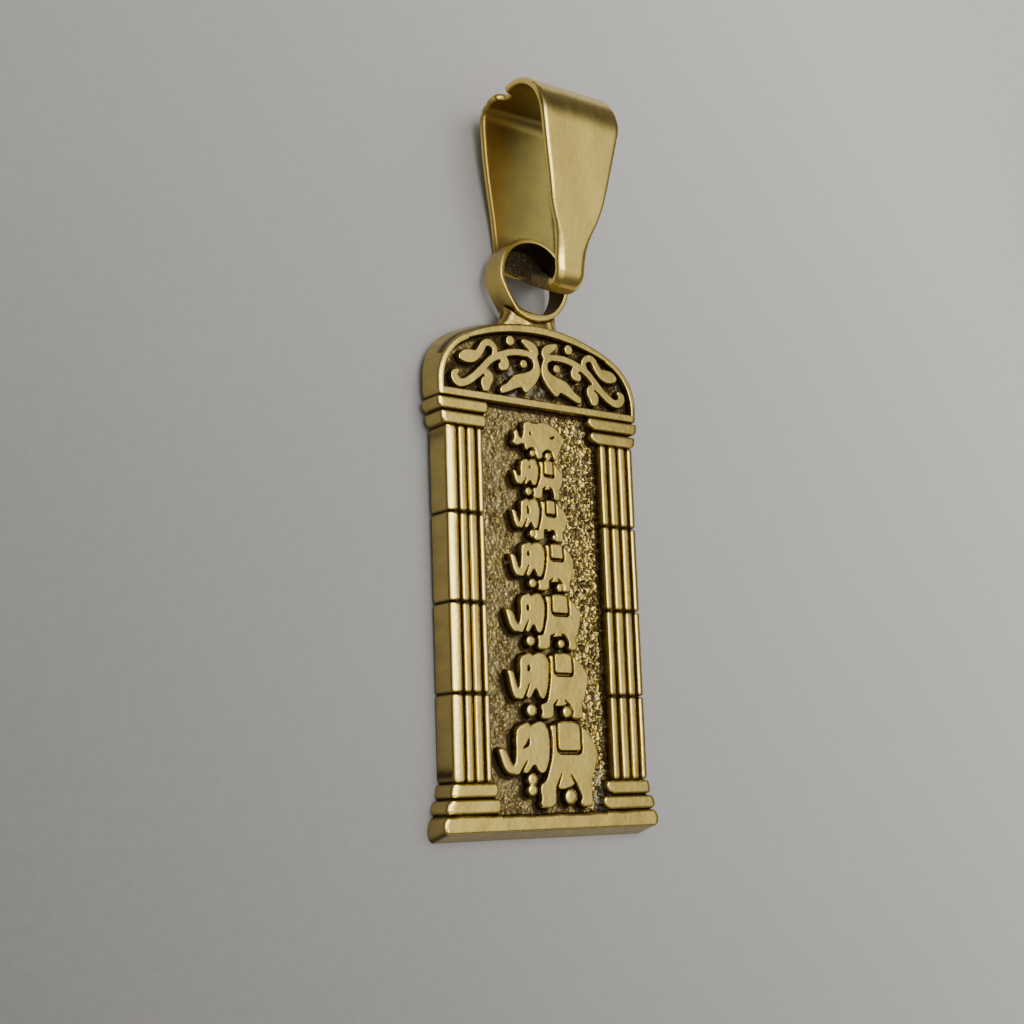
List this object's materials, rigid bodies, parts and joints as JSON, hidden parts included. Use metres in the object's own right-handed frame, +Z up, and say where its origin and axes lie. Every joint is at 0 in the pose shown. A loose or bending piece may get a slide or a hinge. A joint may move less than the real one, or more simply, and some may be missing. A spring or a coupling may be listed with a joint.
{
  "type": "pendant",
  "caption": "Gold plaque pendant with an arched portico, fluted columns and a panel of raised elephants, a soldered ring and a wide folded bail.",
  "frame": {"origin": "centre of the bounding box on the surface that the pendant lies on", "axes": "+Z up, +Y up the pendant from its foot to its bail, +X to the right as one looks at its front"},
  "size_m": [0.0118, 0.0338, 0.0057],
  "materials": {
    "plaque_gold": "cast yellow gold, polished on the raised faces and dark with oxide in the sunk ground",
    "bail_gold": "polished yellow gold sheet with worn edges"
  },
  "bodies": {
    "root": {"plaque": "plaque_gold", "bail": "bail_gold"}
  },
  "joints": []
}
